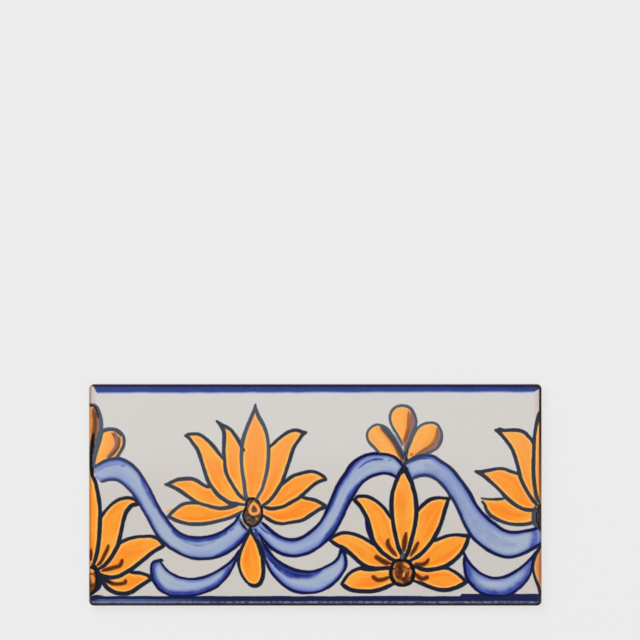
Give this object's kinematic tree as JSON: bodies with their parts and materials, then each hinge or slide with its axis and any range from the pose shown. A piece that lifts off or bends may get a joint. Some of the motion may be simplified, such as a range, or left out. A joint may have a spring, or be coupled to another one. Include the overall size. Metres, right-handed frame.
{
  "type": "border tile",
  "caption": "Glazed ceramic border tile with a painted band of lotus flowers, buds and wave scrolls between two stripes, rolled face edges and a keyed back.",
  "frame": {"origin": "middle of the back, on the plane that the keyed ribs rest on", "axes": "+X along the border to the right of the pattern, +Y across it to the top of the pattern, +Z out of the decorated face"},
  "size_m": [0.2, 0.098, 0.008],
  "materials": {
    "glazed_tile": "glossy tin-white glaze painted in cobalt blue and orange, bare red clay at the sides and back"
  },
  "bodies": {
    "root": {"tile": "glazed_tile"}
  },
  "joints": []
}
